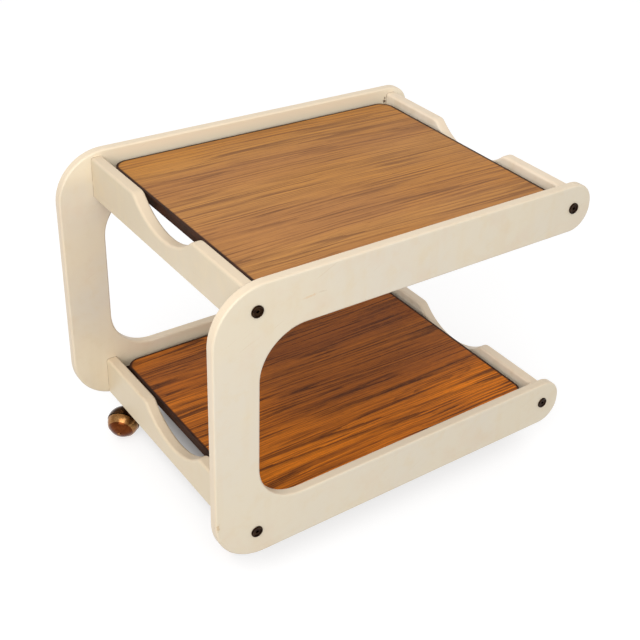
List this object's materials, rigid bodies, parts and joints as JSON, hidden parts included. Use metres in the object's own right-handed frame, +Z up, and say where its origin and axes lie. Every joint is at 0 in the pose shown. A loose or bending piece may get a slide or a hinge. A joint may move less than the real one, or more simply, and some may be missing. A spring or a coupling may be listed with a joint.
{
  "type": "serving trolley",
  "caption": "Low tiered serving trolley with C-shaped lacquered side panels, scooped cross rails, drop-in wood-grain trays and swivelling ball castors.",
  "frame": {"origin": "on the floor, below the centre of the overall bounding box", "axes": "+X towards the free ends of the arms (closed spine at -X), +Y towards the rear side frame, +Z up"},
  "size_m": [0.662, 0.482, 0.503],
  "materials": {
    "cream_lacquer": "satin cream lacquer over board",
    "teak_laminate": "semi-matt teak-grain laminate, grain along X",
    "dark_edging": "dark brown edge lipping",
    "particleboard": "raw board",
    "backing_sheet": "brown balancing sheet",
    "dark_batten": "dark stained batten",
    "bronzed_steel": "bronzed steel, brassy at worn edges",
    "zinc_steel": "zinc plated",
    "castor_bronze": "dark bronze finish",
    "castor_copper": "glossy copper-brown finish",
    "castor_brass": "bright brass"
  },
  "bodies": {
    "trolley": {"side_frame_front": "cream_lacquer", "side_frame_rear": "cream_lacquer", "upper_rail_left": "cream_lacquer", "upper_rail_right": "cream_lacquer", "upper_batten_front": "dark_batten", "upper_batten_rear": "dark_batten", "lower_rail_left": "cream_lacquer", "lower_rail_right": "cream_lacquer", "lower_batten_front": "dark_batten", "lower_batten_rear": "dark_batten", "connector_bolts": "bronzed_steel", "barrel_nuts": "zinc_steel", "batten_screws": "zinc_steel", "castor_sockets": "zinc_steel"},
    "upper_tray": {"upper_tray_core": "particleboard", "upper_tray_laminate": "teak_laminate", "upper_tray_backing": "backing_sheet", "upper_tray_edging": "dark_edging"},
    "lower_tray": {"lower_tray_core": "particleboard", "lower_tray_laminate": "teak_laminate", "lower_tray_backing": "backing_sheet", "lower_tray_edging": "dark_edging"},
    "castor_front_left": {"castor_front_left_stem": "zinc_steel", "castor_front_left_hood": "castor_bronze", "castor_front_left_axle": "zinc_steel"},
    "castor_front_left_roller": {"castor_front_left_wheel": "castor_copper", "castor_front_left_tread": "castor_brass", "castor_front_left_cap": "castor_brass"},
    "castor_rear_left": {"castor_rear_left_stem": "zinc_steel", "castor_rear_left_hood": "castor_bronze", "castor_rear_left_axle": "zinc_steel"},
    "castor_rear_left_roller": {"castor_rear_left_wheel": "castor_copper", "castor_rear_left_tread": "castor_brass", "castor_rear_left_cap": "castor_brass"},
    "castor_front_right": {"castor_front_right_stem": "zinc_steel", "castor_front_right_hood": "castor_bronze", "castor_front_right_axle": "zinc_steel"},
    "castor_front_right_roller": {"castor_front_right_wheel": "castor_copper", "castor_front_right_tread": "castor_brass", "castor_front_right_cap": "castor_brass"},
    "castor_rear_right": {"castor_rear_right_stem": "zinc_steel", "castor_rear_right_hood": "castor_bronze", "castor_rear_right_axle": "zinc_steel"},
    "castor_rear_right_roller": {"castor_rear_right_wheel": "castor_copper", "castor_rear_right_tread": "castor_brass", "castor_rear_right_cap": "castor_brass"}
  },
  "joints": [
    {"name": "upper_tray_lift", "type": "slide", "parent": "trolley", "child": "upper_tray", "axis": [0, 0, 1], "range_m": [0, 0.1]},
    {"name": "lower_tray_lift", "type": "slide", "parent": "trolley", "child": "lower_tray", "axis": [0, 0, 1], "range_m": [0, 0.1]},
    {"name": "castor_front_left_swivel", "type": "hinge", "parent": "trolley", "child": "castor_front_left", "pos_m": [-0.266, -0.1665, 0.062], "axis": [0, 0, 1], "continuous": true},
    {"name": "castor_front_left_roll", "type": "hinge", "parent": "castor_front_left", "child": "castor_front_left_roller", "pos_m": [-0.25441, -0.16339, 0.026], "axis": [-0.2462, 0.9186, -0.309], "continuous": true},
    {"name": "castor_rear_left_swivel", "type": "hinge", "parent": "trolley", "child": "castor_rear_left", "pos_m": [-0.266, 0.1665, 0.062], "axis": [0, 0, 1], "continuous": true},
    {"name": "castor_rear_left_roll", "type": "hinge", "parent": "castor_rear_left", "child": "castor_rear_left_roller", "pos_m": [-0.27448, 0.17499, 0.026], "axis": [-0.6725, -0.6725, -0.309], "continuous": true},
    {"name": "castor_front_right_swivel", "type": "hinge", "parent": "trolley", "child": "castor_front_right", "pos_m": [0.294, -0.1665, 0.062], "axis": [0, 0, 1], "continuous": true},
    {"name": "castor_front_right_roll", "type": "hinge", "parent": "castor_front_right", "child": "castor_front_right_roller", "pos_m": [0.29192, -0.15468, 0.026], "axis": [-0.9366, -0.1651, -0.309], "continuous": true},
    {"name": "castor_rear_right_swivel", "type": "hinge", "parent": "trolley", "child": "castor_rear_right", "pos_m": [0.294, 0.1665, 0.062], "axis": [0, 0, 1], "continuous": true},
    {"name": "castor_rear_right_roll", "type": "hinge", "parent": "castor_rear_right", "child": "castor_rear_right_roller", "pos_m": [0.2899, 0.15522, 0.026], "axis": [0.8937, -0.3253, -0.309], "continuous": true}
  ]
}
